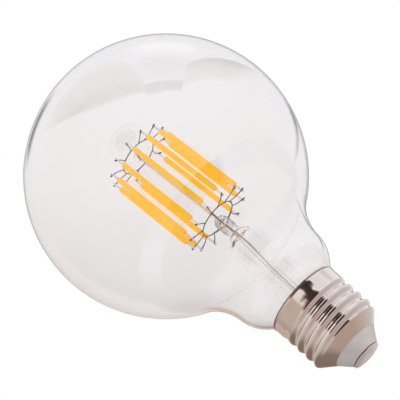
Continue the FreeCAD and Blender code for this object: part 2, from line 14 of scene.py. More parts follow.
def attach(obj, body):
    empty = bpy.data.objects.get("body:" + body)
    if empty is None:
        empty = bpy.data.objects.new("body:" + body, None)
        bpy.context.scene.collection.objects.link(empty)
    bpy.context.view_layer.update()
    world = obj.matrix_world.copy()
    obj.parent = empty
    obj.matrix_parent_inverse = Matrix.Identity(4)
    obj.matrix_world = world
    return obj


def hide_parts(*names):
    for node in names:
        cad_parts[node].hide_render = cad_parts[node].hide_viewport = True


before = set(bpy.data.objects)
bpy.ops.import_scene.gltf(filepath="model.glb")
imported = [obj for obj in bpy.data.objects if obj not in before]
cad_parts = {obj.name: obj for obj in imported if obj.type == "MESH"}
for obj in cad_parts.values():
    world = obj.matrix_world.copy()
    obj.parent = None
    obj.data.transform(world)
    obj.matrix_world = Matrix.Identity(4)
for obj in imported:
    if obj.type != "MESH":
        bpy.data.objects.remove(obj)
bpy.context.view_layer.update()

MM = 0.001
TAU = 2 * math.pi
SHARP = math.radians(35)
ON_AXIS = 1e-6

# Globe and neck
GLOBE_R = 47.5
WALL = 1.0
NECK_R = 18.5
NECK_TAPER = math.radians(7)
NECK_FILLET = 19.0
NECK_RUN = 1.1
NECK_Z = 38.9
SHOULDER = 13.0
MOUTH_R = 11.7
NECK_END = 23.4
GLOBE_STEPS = 96
NECK_STEPS = 32
GLOBE_SEGMENTS = 192

# Stem
STEM_R = 5.7
STEM_WALL = 0.9
FLARE = 10.0
FLARE_Z = 34.0
STEM_Z = 54.0
STEM_SHOULDER = 7.0
STEM_CEILING = 57.0
STEM_NECK_R = 2.4
LIP_GAP = 0.05
LIP_R = MOUTH_R - WALL - LIP_GAP
STEM_STEPS = 24
CEILING_STEPS = 16
STEM_SEGMENTS = 96

# Exhaust tube
EXHAUST_R = 2.1
EXHAUST_BORE = 1.2
EXHAUST_TIP = 18.5
EXHAUST_GAP = 0.05
EXHAUST_TOP = STEM_CEILING - EXHAUST_GAP
EXHAUST_STEPS = 12
EXHAUST_SEGMENTS = 48

# Pinch and post
PINCH_Z = 65.6
PINCH_X = 0.95
LEAN = math.radians(3.3)
PINCH_R = 2.5
PINCH_DEPTH = 6.5
PINCH_TOP = 2.6
WAIST_R = 2.3
WAIST_RISE = 2.2
SWELL_R = 2.55
SWELL_DROP = 3.0
EDGE_DROP = 1.0
PINCH_STEPS = 14
POST_R = 0.8
POST_FOOT = 1.5
BEAD_R = 1.7
BEAD_STEPS = 20
POST_SEGMENTS = 32

# Filaments: the coat's ends are given as shares of its radius at distances from its end.
FILAMENT_LENGTH = 38.0
FILAMENT_MIDDLE = 20.45
FILAMENT_R = 12.3
FILAMENT_PHASE = 4.0
FILAMENT_STEP = 30
PLACES = (0, 1, 2, 4, 5, 6, 7, 8, 9, 10, 11)
COAT_LENGTH = 31.0
COAT_R = 0.95
COAT_END = ((0.62, 0.0), (0.9, 0.12), (1.0, 0.45))
COAT_SEGMENTS = 24

# Wire rings: a sweep is how far round the ring a prong's root stands from its filament.
RING_R = 7.0
RING_STEP = 10
KNEE_R = 9.8
PRONG_R = 13.1
PRONG_INSET = 0.7
PRONG_ASIDE = 0.39
PRONG_RISE = 0.6
PRONG_REACH = 0.3
RING_WIRE = 0.18
PRONG_WIRE = 0.155
TIP_SWELL = 2.0
WIRE_ORDER = 3
WIRE_BEVEL = 3
WIRE_STEPS = 8
NEAR_SWEEP = {0: 15, 1: 10, 2: 16, 4: -4, 5: -9, 6: 2, 7: 2, 8: 6, 9: 3, 10: 11, 11: 13}
FAR_SWEEP = {0: 12, 1: 14, 2: 16, 4: 8, 5: 14, 6: 12, 7: 14, 8: 9, 9: 6, 10: 6, 11: 14}
NEAR_SPOKES = (271, 48, 128)
SPOKE_FOOT_R = 0.9
SPOKE_FOOT_Z = -1.2
SPOKE_BEND_R = 4.0
SPOKE_BEND_Z = 0.5
CROSS_WIRE = 274
NEAR_LEVEL = FILAMENT_MIDDLE - FILAMENT_LENGTH / 2 + PRONG_INSET
FAR_LEVEL = FILAMENT_MIDDLE + FILAMENT_LENGTH / 2 - PRONG_INSET

# Cap
RIM_Z = 28.0
RIM_R = 13.35
RIM_HEIGHT = 0.9
RIM_ROLL = 0.3
RIM_TURN = (-40, 120)
RIM_STEPS = 8
RIM_FOOT_OUT = 0.05
RIM_FOOT_DROP = 0.7
RIM_LIP_DROP = 0.1
MAJOR_R = 13.1
THREAD_DEPTH = 1.0
PITCH = 3.629
THREAD_Z = 10.05
THREAD_END = (1200, 1310)
SHELL_WALL = 0.3
SHELL_R = MAJOR_R - THREAD_DEPTH - SHELL_WALL
SKIRT_R = MAJOR_R - SHELL_WALL
SKIRT_STEP = 24.7
CONE_Z = 9.2
CONE_R = 12.4
CONE_BOTTOM = 5.5
CONE_MOUTH = 8.45
CONE_SLOPE = (CONE_R - CONE_MOUTH) / (CONE_Z - CONE_BOTTOM)
CONE_BLEND = 0.35
SHELL_ROWS = 190
SHELL_SEGMENTS = 240

CAGE = Matrix.Translation((PINCH_X, 0, PINCH_Z)) @ Matrix.Rotation(-LEAN, 4, "Y")


def smooth(low, high, value):
    """0 up to one value, 1 from the other, and an even ease between them."""
    share = min(1.0, max(0.0, (value - low) / (high - low)))
    return share * share * (3 - 2 * share)


def part_way(ends, share):
    return ends[0] + (ends[1] - ends[0]) * share


def around(radius, angle, height):
    """Point by its distance from the axis, its angle in radians and its height."""
    return Vector((radius * math.cos(angle), radius * math.sin(angle), height))


def polar(radius, angle, height):
    return around(radius, math.radians(angle), height)


def arc(centre_r, centre_z, radius, start, end, steps):
    """Points of an arc in the profile plane, by angles from the +r direction."""
    points = []
    for step in range(steps + 1):
        angle = math.radians(start + (end - start) * step / steps)
        points.append((centre_r + radius * math.cos(angle), centre_z + radius * math.sin(angle)))
    return points


def angle_of(dr, dz):
    return math.degrees(math.atan2(dz, dr))


def lathe(profile, segments, place=None, centre=None):
    """Points and faces of a profile of (r, z) turned about Z. Rings can be moved off the axis by
    centre(z), and the whole by a place."""
    points = []
    faces = []
    rings = []
    for radius, height in profile:
        shift = centre(height) if centre else Vector((0, 0, 0))
        if radius < ON_AXIS:
            rings.append([len(points)])
            points.append(Vector((0, 0, height)) + shift)
            continue
        rings.append(list(range(len(points), len(points) + segments)))
        for step in range(segments):
            points.append(around(radius, TAU * step / segments, height) + shift)
    for low, high in zip(rings, rings[1:]):
        for step in range(segments):
            after = (step + 1) % segments
            corners = [low[step % len(low)], low[after % len(low)]]
            corners += [high[after % len(high)], high[step % len(high)]]
            face = list(dict.fromkeys(corners))
            if len(face) > 2:
                faces.append(face)
    if place:
        points = [place @ point for point in points]
    return points, faces


def add_piece(name, data, material, node_name, slot):
    """Piece of the lamp that stands for a CAD node."""
    data.materials.append(material)
    piece = bpy.data.objects.new(name, data)
    bpy.context.scene.collection.objects.link(piece)
    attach(piece, "root")
    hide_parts(node_name)


def mesh_piece(name, points, faces, material, node_name, slot):
    """Smooth mesh from points in millimetres, sharp only where its faces turn steeply."""
    mesh = bpy.data.meshes.new(name)
    mesh.from_pydata([Vector(point) * MM for point in points], [], faces)
    mesh.validate()
    outward = bmesh.new()
    outward.from_mesh(mesh)
    bmesh.ops.recalc_face_normals(outward, faces=outward.faces)
    outward.to_mesh(mesh)
    outward.free()
    mesh.polygons.foreach_set("use_smooth", [True] * len(mesh.polygons))
    mesh.set_sharp_from_angle(angle=SHARP)
    add_piece(name, mesh, material, node_name, slot)


def wire_piece(name, routes, radii, material, node_name, slot):
    """Round wires along smooth lines through routes of points in millimetres. Each swells at its end."""
    curve = bpy.data.curves.new(name, "CURVE")
    curve.dimensions = "3D"
    curve.bevel_depth = MM
    curve.bevel_resolution = WIRE_BEVEL
    curve.resolution_u = WIRE_STEPS
    curve.use_fill_caps = True
    for route, radius in zip(routes, radii):
        spline = curve.splines.new("NURBS")
        spline.points.add(len(route) - 1)
        for point, place in zip(spline.points, route):
            point.co = (*(place * MM), 1)
            point.radius = radius
        spline.points[-1].radius = radius * TIP_SWELL
        spline.order_u = min(WIRE_ORDER, len(route))
        spline.use_endpoint_u = True
    add_piece(name, curve, material, node_name, slot)


# Materials: noise scales are waves in a metre, and bump depths are in metres.
NOISE_RANGE = (0.3, 0.7)
FINE_DETAIL = 4.0
HAZE_SCALE = 60
HAZE = (0.0, 0.01)
WAVE_SCALE = 22
WAVE_DEPTH = 0.00002
WAVE_STRENGTH = 0.4
DENT_SCALE = 700
DENT_DEPTH = 0.0004
PRESS_RUN = 1.5
SMOKE = (0.74, 0.67, 0.62)
SMOKE_SCALE = 420
SMOKE_RANGE = (0.42, 0.6)
STAIN_SCALE = 140
STAIN_RANGE = (0.35, 0.65)
GRAIN_STRENGTH = 0.3
TEXTURE_RATIO = 4
TEXTURE_STRENGTH = 0.4


def new_material(name):
    material = bpy.data.materials.new(name)
    material.use_nodes = True
    tree = material.node_tree
    return material, tree, tree.nodes["Principled BSDF"]


def set_sockets(shader, **values):
    for name, value in values.items():
        shader.inputs[name.replace("_", " ")].default_value = value


def noise(tree, scale, detail=3.0, stretch=(1, 1, 1)):
    """Noise in object space, so the grain stays with the piece."""
    coords = tree.nodes.new("ShaderNodeTexCoord")
    mapping = tree.nodes.new("ShaderNodeMapping")
    mapping.inputs["Scale"].default_value = stretch
    texture = tree.nodes.new("ShaderNodeTexNoise")
    texture.inputs["Scale"].default_value = scale
    texture.inputs["Detail"].default_value = detail
    tree.links.new(coords.outputs["Object"], mapping.inputs["Vector"])
    tree.links.new(mapping.outputs["Vector"], texture.inputs["Vector"])
    return texture.outputs["Fac"]


def ramp(tree, source, levels, colours):
    """Two colours at two levels of a noise."""
    node = tree.nodes.new("ShaderNodeValToRGB")
    for element, level, colour in zip(node.color_ramp.elements, levels, colours):
        element.position = level
        element.color = (*colour, 1)
    tree.links.new(source, node.inputs["Fac"])
    return node.outputs["Color"]


def spread(tree, source, low, high):
    """Map a noise's middle range to low..high."""
    node = tree.nodes.new("ShaderNodeMapRange")
    node.inputs["From Min"].default_value = NOISE_RANGE[0]
    node.inputs["From Max"].default_value = NOISE_RANGE[1]
    node.inputs["To Min"].default_value = low
    node.inputs["To Max"].default_value = high
    tree.links.new(source, node.inputs["Value"])
    return node.outputs["Result"]


def bump(tree, shader, source, distance, strength=1.0):
    node = tree.nodes.new("ShaderNodeBump")
    node.inputs["Strength"].default_value = strength
    node.inputs["Distance"].default_value = distance
    tree.links.new(source, node.inputs["Height"])
    tree.links.new(node.outputs["Normal"], shader.inputs["Normal"])
    return node


def height_share(tree, low, high):
    """0 below one height of the lamp in millimetres and 1 above the other."""
    coords = tree.nodes.new("ShaderNodeTexCoord")
    height = tree.nodes.new("ShaderNodeSeparateXYZ")
    share = tree.nodes.new("ShaderNodeMapRange")
    share.interpolation_type = "SMOOTHSTEP"
    share.inputs["From Min"].default_value = low * MM
    share.inputs["From Max"].default_value = high * MM
    tree.links.new(coords.outputs["Object"], height.inputs["Vector"])
    tree.links.new(height.outputs["Z"], share.inputs["Value"])
    return share.outputs["Result"]


def colour_mix(tree, share):
    """Mix of two colours, A where a share is 0 and B where it is 1."""
    node = tree.nodes.new("ShaderNodeMix")
    node.data_type = "RGBA"
    tree.links.new(share, node.inputs["Factor"])
    return node


def glass_material(name, tint, absorption, density, ior, pressed=None):
    """Clear glass: faintly wavy as blown glass is, greyer where it is looked through edge on, and mottled
    above a height in millimetres where it was pressed flat."""
    material, tree, shader = new_material(name)
    set_sockets(shader, Base_Color=(*tint, 1), IOR=ior, Transmission_Weight=1.0)
    haze = spread(tree, noise(tree, HAZE_SCALE), *HAZE)
    tree.links.new(haze, shader.inputs["Roughness"])
    waves = bump(tree, shader, noise(tree, WAVE_SCALE, detail=1.0), WAVE_DEPTH, WAVE_STRENGTH)
    if pressed:
        dents = bump(tree, shader, noise(tree, DENT_SCALE, detail=2.0), DENT_DEPTH)
        share = height_share(tree, pressed, pressed + PRESS_RUN)
        tree.links.new(share, dents.inputs["Strength"])
        tree.links.new(waves.outputs["Normal"], dents.inputs["Normal"])
        mottle = ramp(tree, noise(tree, SMOKE_SCALE, detail=2.0), SMOKE_RANGE, (SMOKE, tint))
        mixed = colour_mix(tree, share)
        mixed.inputs["A"].default_value = (*tint, 1)
        tree.links.new(mottle, mixed.inputs["B"])
        tree.links.new(mixed.outputs["Result"], shader.inputs["Base Color"])
    volume = tree.nodes.new("ShaderNodeVolumeAbsorption")
    volume.inputs["Color"].default_value = (*absorption, 1)
    volume.inputs["Density"].default_value = density
    tree.links.new(volume.outputs["Volume"], tree.nodes["Material Output"].inputs["Volume"])
    return material


def shade_and_tone_by_height(tree, colour, low, high, tone):
    """Turn a colour to another tone between two heights of the lamp in millimetres. On the cap's rim and
    the contact this is painted shade.
    """
    mixed = colour_mix(tree, height_share(tree, low, high))
    mixed.inputs["B"].default_value = (*tone, 1)
    tree.links.new(colour, mixed.inputs["A"])
    return mixed.outputs["Result"]


def metal_material(name, pale, dark, rough, scale, depth, stretch=(1, 1, 1), metallic=1.0, painted_shade_and_tone=None):
    """Metal with faint stains and drawing lines, turned to another tone above a height where one is given,
    which on the cap and the contact is painted shade.
    """
    material, tree, shader = new_material(name)
    set_sockets(shader, Metallic=metallic)
    colour = ramp(tree, noise(tree, STAIN_SCALE, FINE_DETAIL), STAIN_RANGE, (dark, pale))
    if painted_shade_and_tone:
        colour = shade_and_tone_by_height(tree, colour, *painted_shade_and_tone)
    tree.links.new(colour, shader.inputs["Base Color"])
    grain = noise(tree, scale, FINE_DETAIL, stretch)
    tree.links.new(spread(tree, grain, *rough), shader.inputs["Roughness"])
    bump(tree, shader, grain, depth, GRAIN_STRENGTH)
    return material


def plain_material(name, pale, dark, rough, scale, depth, **sockets):
    """Moulded or coated surface with faint mottling and a fine texture."""
    material, tree, shader = new_material(name)
    set_sockets(shader, **sockets)
    mottle = noise(tree, scale, FINE_DETAIL)
    tree.links.new(ramp(tree, mottle, NOISE_RANGE, (dark, pale)), shader.inputs["Base Color"])
    tree.links.new(spread(tree, mottle, *rough), shader.inputs["Roughness"])
    bump(tree, shader, noise(tree, scale * TEXTURE_RATIO), depth, TEXTURE_STRENGTH)
    return material


GLASS = glass_material(
    "blown_glass", tint=(0.975, 0.962, 0.966), absorption=(0.30, 0.27, 0.29), density=55.0, ior=1.65
)
STEM_GLASS = glass_material(
    "drawn_glass", tint=(1.0, 0.995, 0.99), absorption=(0.30, 0.28, 0.28), density=4.0, ior=1.38
)
PINCH_GLASS = glass_material(
    "pressed_glass", tint=(1.0, 0.995, 0.99), absorption=(0.30, 0.28, 0.26), density=4.0, ior=1.38,
    pressed=60.5
)
# Nickel plate. The dark brown top of its rolled rim is painted shade of the joint between the rim and the
# glass.
NICKEL = metal_material(
    "nickel_plate", pale=(0.89, 0.84, 0.81), dark=(0.84, 0.785, 0.755), rough=(0.03, 0.06),
    scale=500, depth=0.000004, stretch=(1, 1, 6),
    painted_shade_and_tone=(RIM_Z - 0.72, RIM_Z - 0.4, (0.34, 0.28, 0.25))
)
# Contact metal. Its near-black side wall and back, towards the insulator, are painted shade in the gap
# between them.
CONTACT = metal_material(
    "contact_metal", pale=(0.93, 0.88, 0.85), dark=(0.86, 0.81, 0.77), rough=(0.35, 0.45),
    scale=900, depth=0.00001, metallic=0.75, painted_shade_and_tone=(0.8, 0.95, (0.05, 0.035, 0.03))
)
WIRE = metal_material(
    "dark_wire", pale=(0.21, 0.16, 0.14), dark=(0.11, 0.08, 0.07), rough=(0.35, 0.5),
    scale=2500, depth=0.00001, stretch=(1, 1, 0.2), metallic=0.8
)
LEAD = metal_material(
    "lead_wire", pale=(0.93, 0.89, 0.86), dark=(0.82, 0.77, 0.74), rough=(0.3, 0.45),
    scale=2500, depth=0.00001, stretch=(1, 1, 0.1), metallic=0.8,
    painted_shade_and_tone=(46, 52, (0.58, 0.50, 0.46))
)
STRIP = metal_material(
    "strip_metal", pale=(0.95, 0.90, 0.87), dark=(0.85, 0.79, 0.75), rough=(0.3, 0.45),
    scale=1500, depth=0.00001, stretch=(1, 1, 0.2)
)
# Yellow phosphor coat with a painted glow: its emission lights the coat though the lamp is not switched on.
PHOSPHOR_WITH_PAINTED_GLOW = plain_material(
    "phosphor_coat", pale=(1.0, 0.63, 0.03), dark=(1.0, 0.50, 0.015), rough=(0.45, 0.6),
    scale=500, depth=0.00003, Emission_Color=(1.0, 0.55, 0.02, 1), Emission_Strength=0.5
)
INSULATOR = plain_material(
    "insulator", pale=(0.55, 0.505, 0.495), dark=(0.49, 0.45, 0.435), rough=(0.35, 0.5),
    scale=300, depth=0.000008
)
CEMENT = plain_material(
    "cement", pale=(0.46, 0.41, 0.36), dark=(0.34, 0.30, 0.26), rough=(0.8, 0.95), scale=700, depth=0.0001
)
BOARD = plain_material(
    "board", pale=(0.80, 0.80, 0.76), dark=(0.74, 0.74, 0.70), rough=(0.3, 0.4), scale=400, depth=0.00001
)
SLEEVE = plain_material(
    "sleeve", pale=(0.03, 0.035, 0.05), dark=(0.02, 0.022, 0.035), rough=(0.25, 0.35),
    scale=300, depth=0.00001
)
PACKAGE = plain_material(
    "package", pale=(0.025, 0.025, 0.027), dark=(0.015, 0.015, 0.017), rough=(0.5, 0.65),
    scale=900, depth=0.00003
)
LACQUER = plain_material(
    "lacquer", pale=(0.10, 0.22, 0.16), dark=(0.07, 0.16, 0.12), rough=(0.25, 0.4), scale=500, depth=0.00002
)
PALE_LEAD = metal_material(
    "pale_lead", pale=(0.92, 0.87, 0.83), dark=(0.84, 0.78, 0.74), rough=(0.3, 0.4),
    scale=2500, depth=0.00001, stretch=(1, 1, 0.1)
)
TINNED = metal_material(
    "tinned_wire", pale=(0.66, 0.63, 0.58), dark=(0.55, 0.52, 0.47), rough=(0.25, 0.4),
    scale=1500, depth=0.00001, stretch=(1, 1, 0.2)
)


# Globe


def envelope_profile(depth):
    """Corners from the globe's top down to the mouth, at a depth below the outer skin."""
    fillet_r = NECK_R + NECK_FILLET * math.cos(NECK_TAPER)
    fillet_z = NECK_Z - NECK_FILLET * math.sin(NECK_TAPER)
    globe_z = fillet_z + math.sqrt((GLOBE_R + NECK_FILLET) ** 2 - fillet_r ** 2)
    join = angle_of(fillet_r, fillet_z - globe_z)
    run_r = NECK_R - NECK_RUN * math.sin(NECK_TAPER)
    run_z = NECK_Z - NECK_RUN * math.cos(NECK_TAPER)
    shoulder_r = run_r - SHOULDER * math.cos(NECK_TAPER)
    shoulder_z = run_z + SHOULDER * math.sin(NECK_TAPER)
    taper = math.degrees(NECK_TAPER)
    mouth = MOUTH_R - depth
    low = -math.degrees(math.acos((mouth - shoulder_r) / (SHOULDER - depth)))
    points = arc(0, globe_z, GLOBE_R - depth, 90, join, GLOBE_STEPS)
    points[0] = (0.0, points[0][1])
    points += arc(fillet_r, fillet_z, NECK_FILLET + depth, 180 + join, 180 - taper, NECK_STEPS)[1:]
    points += arc(shoulder_r, shoulder_z, SHOULDER - depth, -taper, low, NECK_STEPS)
    points.append((mouth, NECK_END))
    return points


envelope = lathe(envelope_profile(0) + envelope_profile(WALL)[::-1], GLOBE_SEGMENTS)
mesh_piece("blown_envelope", *envelope, GLASS, "glass_envelope", "clear_glass")

# Stem and pinch: one glass, whose top bends onto the cage's axis
pinch_base = CAGE @ Vector((0, 0, -PINCH_DEPTH))


def stem_centre(height):
    """Where the stem's axis lies at a height."""
    if height >= pinch_base.z:
        return Vector((PINCH_X - (height - PINCH_Z) * math.tan(LEAN), 0, 0))
    return Vector((pinch_base.x * smooth(STEM_Z, pinch_base.z, height), 0, 0))


def flare_angle(radius, lip):
    """Angle at which an arc of the flare meets the lip."""
    lip_z = FLARE_Z - math.sqrt(radius ** 2 - (STEM_R + FLARE - lip) ** 2)
    return angle_of(lip - STEM_R - FLARE, lip_z - FLARE_Z) + 360


def stem_outside():
    """Corners from the lip up to the top of the pinch."""
    shoulder_r = STEM_R - STEM_SHOULDER
    neck = math.degrees(math.acos((STEM_NECK_R - shoulder_r) / STEM_SHOULDER))
    points = [(LIP_R, NECK_END)]
    points += arc(STEM_R + FLARE, FLARE_Z, FLARE, flare_angle(FLARE, LIP_R), 180, STEM_STEPS)
    points += arc(shoulder_r, STEM_Z, STEM_SHOULDER, 0, neck, STEM_STEPS)
    points.append((WAIST_R, pinch_base.z + WAIST_RISE))
    points.append((SWELL_R, PINCH_Z - SWELL_DROP))
    points.append((PINCH_R, PINCH_Z - EDGE_DROP))
    points += arc(0, PINCH_Z + PINCH_TOP - PINCH_R, PINCH_R, 0, 90, PINCH_STEPS)[:-1]
    points.append((0.0, PINCH_Z + PINCH_TOP))
    return points


def stem_inside():
    """Corners from the ceiling of the stem's bore down to the lip."""
    shoulder = STEM_SHOULDER - STEM_WALL
    ceiling = math.degrees(math.asin((STEM_CEILING - STEM_Z) / shoulder))
    flare = FLARE + STEM_WALL
    lip = LIP_R - STEM_WALL
    points = [(0.0, STEM_CEILING)]
    points += arc(STEM_R - STEM_SHOULDER, STEM_Z, shoulder, ceiling, 0, CEILING_STEPS)
    points += arc(STEM_R + FLARE, FLARE_Z, flare, 180, flare_angle(flare, lip), STEM_STEPS)
    points.append((lip, NECK_END))
    return points


def stem_mesh():
    """Outer and inner skins, joined round the lip."""
    points, faces = lathe(stem_outside(), STEM_SEGMENTS, centre=stem_centre)
    inside, inside_faces = lathe(stem_inside(), STEM_SEGMENTS, centre=stem_centre)
    offset = len(points)
    faces = [face[::-1] for face in faces]
    faces += [[index + offset for index in face[::-1]] for face in inside_faces]
    lip = offset + len(inside) - STEM_SEGMENTS
    for step in range(STEM_SEGMENTS):
        after = (step + 1) % STEM_SEGMENTS
        faces.append([step, after, lip + after, lip + step])
    return points + inside, faces


mesh_piece("drawn_stem", *stem_mesh(), PINCH_GLASS, "stem_glass", "clear_glass")

# Centre post with the bead on its top
bead_low = -math.degrees(math.acos(POST_R / BEAD_R))
post_profile = [(0.0, POST_FOOT), (POST_R, POST_FOOT)]
post_profile += arc(0, FAR_LEVEL, BEAD_R, bead_low, 90, BEAD_STEPS)[:-1]
post_profile.append((0.0, FAR_LEVEL + BEAD_R))
post = lathe(post_profile, POST_SEGMENTS, place=CAGE)
mesh_piece("glass_post", *post, STEM_GLASS, "centre_post", "clear_glass")

# Exhaust tube inside the stem, open at its top and sealed to a round tip
tube_profile = arc(0, EXHAUST_TIP + EXHAUST_R, EXHAUST_R, -90, 0, EXHAUST_STEPS)
tube_profile[0] = (0.0, EXHAUST_TIP)
tube_profile += [(EXHAUST_R, EXHAUST_TOP), (EXHAUST_BORE, EXHAUST_TOP)]
tube_profile += arc(0, EXHAUST_TIP + EXHAUST_R + EXHAUST_BORE, EXHAUST_BORE, 0, -90, EXHAUST_STEPS)[:-1]
tube_profile.append((0.0, EXHAUST_TIP + EXHAUST_R))
tube = lathe(tube_profile, EXHAUST_SEGMENTS)
mesh_piece("drawn_tube", *tube, STEM_GLASS, "exhaust_tube", "clear_glass")


# Wire rings


def filament_angle(place):
    return FILAMENT_PHASE + FILAMENT_STEP * place


def ring_routes(level, sweep):
    """A closed ring and one bent prong for each filament, in the cage's frame."""
    routes = [[polar(RING_R, angle, level) for angle in range(0, 361, RING_STEP)]]
    for place in PLACES:
        angle = filament_angle(place)
        beside = polar(PRONG_ASIDE, angle - 90, 0)
        root = polar(RING_R, angle - sweep[place], level)
        knee = polar(KNEE_R, angle, level) + beside
        tip = polar(PRONG_R, angle, level) + beside
        routes.append([root, root.lerp(knee, PRONG_RISE), knee, knee.lerp(tip, PRONG_REACH), tip])
    return routes


def ring_piece(name, routes, node_name):
    placed = [[CAGE @ point for point in route] for route in routes]
    radii = [RING_WIRE] + [PRONG_WIRE] * (len(routes) - 1)
    wire_piece(name, placed, radii, WIRE, node_name, "frame_wire")


near_routes = ring_routes(NEAR_LEVEL, NEAR_SWEEP)
for angle in NEAR_SPOKES:
    foot = polar(SPOKE_FOOT_R, angle, SPOKE_FOOT_Z)
    bend = polar(SPOKE_BEND_R, angle, SPOKE_BEND_Z)
    near_routes.append([foot, bend, polar(RING_R, angle, NEAR_LEVEL)])
far_routes = ring_routes(FAR_LEVEL, FAR_SWEEP)
far_routes.append([polar(RING_R, angle, FAR_LEVEL) for angle in (CROSS_WIRE, CROSS_WIRE + 180)])
ring_piece("lower_ring", near_routes, "near_ring_frame")
ring_piece("upper_ring", far_routes, "far_ring_frame")

# Filament coats with rounded ends
half_coat = COAT_LENGTH / 2
coat_profile = [(0.0, -half_coat)]
coat_profile += [(share * COAT_R, inset - half_coat) for share, inset in COAT_END]
coat_profile += [(r, -z) for r, z in coat_profile[::-1]]
for index, place in enumerate(PLACES, start=1):
    turn = Matrix.Rotation(math.radians(filament_angle(place)), 4, "Z")
    spot = CAGE @ turn @ Matrix.Translation((FILAMENT_R, 0, FILAMENT_MIDDLE))
    coat = lathe(coat_profile, COAT_SEGMENTS, place=spot)
    mesh_piece(f"coat_{index:02d}", *coat, PHOSPHOR_WITH_PAINTED_GLOW, f"filament_{index:02d}_coat", "phosphor_coat")


# Cap shell: the outer skin carries a rolled thread that runs out round the skirt.


def thread_radius(angle, height):
    """Radius on the thread alone, which is shallower towards its end."""
    turns = (height - THREAD_Z) / PITCH - angle / TAU
    groove = round(turns)
    phase = turns - groove
    along = math.degrees(angle) + 360 * groove
    depth = THREAD_DEPTH * (1 - smooth(*THREAD_END, along))
    return MAJOR_R - depth * (0.5 + 0.5 * math.cos(TAU * phase))


def shell_radius(angle, height):
    """Radius on the thread or on the cone, with a soft edge between them."""
    cone = CONE_MOUTH + (height - CONE_BOTTOM) * CONE_SLOPE
    thread = thread_radius(angle, height)
    gap = max(0.0, CONE_BLEND - abs(cone - thread)) / CONE_BLEND
    return min(cone, thread) - gap * gap * CONE_BLEND / 4


def shell_lining():
    """Corners from the skirt over the rolled rim and down the inside of the shell."""
    slope = (CONE_Z - CONE_BOTTOM) / (CONE_R - CONE_MOUTH)
    sheet = SHELL_WALL * math.sqrt(1 + slope * slope)
    corners = [(MAJOR_R + RIM_FOOT_OUT, RIM_Z - RIM_FOOT_DROP)]
    corners += arc(RIM_R - RIM_ROLL, RIM_Z - RIM_ROLL, RIM_ROLL, *RIM_TURN, RIM_STEPS)
    corners += [
        (SKIRT_R, RIM_Z - RIM_LIP_DROP),
        (SKIRT_R, SKIRT_STEP + SKIRT_R - SHELL_R),
        (SHELL_R, SKIRT_STEP),
        (SHELL_R, CONE_BOTTOM + sheet + (SHELL_R - CONE_MOUTH) * slope),
        (CONE_MOUTH, CONE_BOTTOM + sheet),
    ]
    return corners


def shell_mesh():
    """The outer skin row by row, then the rim and the inside, back to the first row."""
    top = RIM_Z - RIM_HEIGHT
    angles = [TAU * step / SHELL_SEGMENTS for step in range(SHELL_SEGMENTS)]
    points = []
    for row in range(SHELL_ROWS + 1):
        height = CONE_BOTTOM + (top - CONE_BOTTOM) * row / SHELL_ROWS
        points += [around(shell_radius(angle, height), angle, height) for angle in angles]
    for radius, height in shell_lining():
        points += [around(radius, angle, height) for angle in angles]
    faces = []
    for low in range(0, len(points), SHELL_SEGMENTS):
        high = (low + SHELL_SEGMENTS) % len(points)
        for step in range(SHELL_SEGMENTS):
            after = (step + 1) % SHELL_SEGMENTS
            faces.append([low + step, low + after, high + after, high + step])
    return points, faces


mesh_piece("rolled_shell", *shell_mesh(), NICKEL, "cap_shell", "cap_metal")

# CAD nodes that keep their own shape
CARRIED = {
    "near_lead": LEAD,
    "far_lead": PALE_LEAD,
    "cap_insulator": INSULATOR,
    "centre_contact": CONTACT,
    "basing_cement": CEMENT,
    "driver_board": BOARD,
    "smoothing_capacitor": SLEEVE,
    "driver_chip": PACKAGE,
    "bridge_rectifier": PACKAGE,
    "fusible_resistor": LACQUER,
    "contact_wire": TINNED,
    "shell_wire": TINNED,
}
for index in range(1, len(PLACES) + 1):
    CARRIED[f"filament_{index:02d}_strip"] = STRIP
for name, material in CARRIED.items():
    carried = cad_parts[name]
    carried.data.materials.clear()
    carried.data.materials.append(material)

# Camera: in front of the lamp and below its cap, rolled as the photograph is
SENSOR = 36.0
LENS = 117.9
CAMERA_PLACE = (0.0016, -0.3975, -0.0927)
CAMERA_RIGHT = (0.6652, 0.2929, -0.6867)
CAMERA_UP = (0.7466, -0.2610, 0.6119)
CAMERA_BACK = (0.0, -0.9198, -0.3923)
camera_turn = Matrix((CAMERA_RIGHT, CAMERA_UP, CAMERA_BACK)).transposed().to_4x4()
camera_data = bpy.data.cameras.new("camera")
camera_data.sensor_fit = "HORIZONTAL"
camera_data.sensor_width = SENSOR
camera_data.lens = LENS
camera = bpy.data.objects.new("camera", camera_data)
bpy.context.scene.collection.objects.link(camera)
camera.matrix_world = Matrix.Translation(CAMERA_PLACE) @ camera_turn
bpy.context.scene.camera = camera

# Stage: a room that only reflections see. Its axes are the photograph's right, up and towards the viewer.
ROOM_R = 1.5
ROOM_PLACE = Matrix.Translation((0, 0, 0.06)) @ camera_turn
ROOM_BOUNCES = 3.5
ROOM_REACH = 10.0


def kept_where(tree, cover, value, operation, limit):
    """Cover of a surface, kept only where a value passes a test against a limit."""
    test = tree.nodes.new("ShaderNodeMath")
    test.operation = operation
    test.inputs[1].default_value = limit
    kept = tree.nodes.new("ShaderNodeMath")
    kept.operation = "MULTIPLY"
    tree.links.new(value, test.inputs[0])
    tree.links.new(test.outputs["Value"], kept.inputs[0])
    tree.links.new(cover, kept.inputs[1])
    return kept.outputs["Value"]


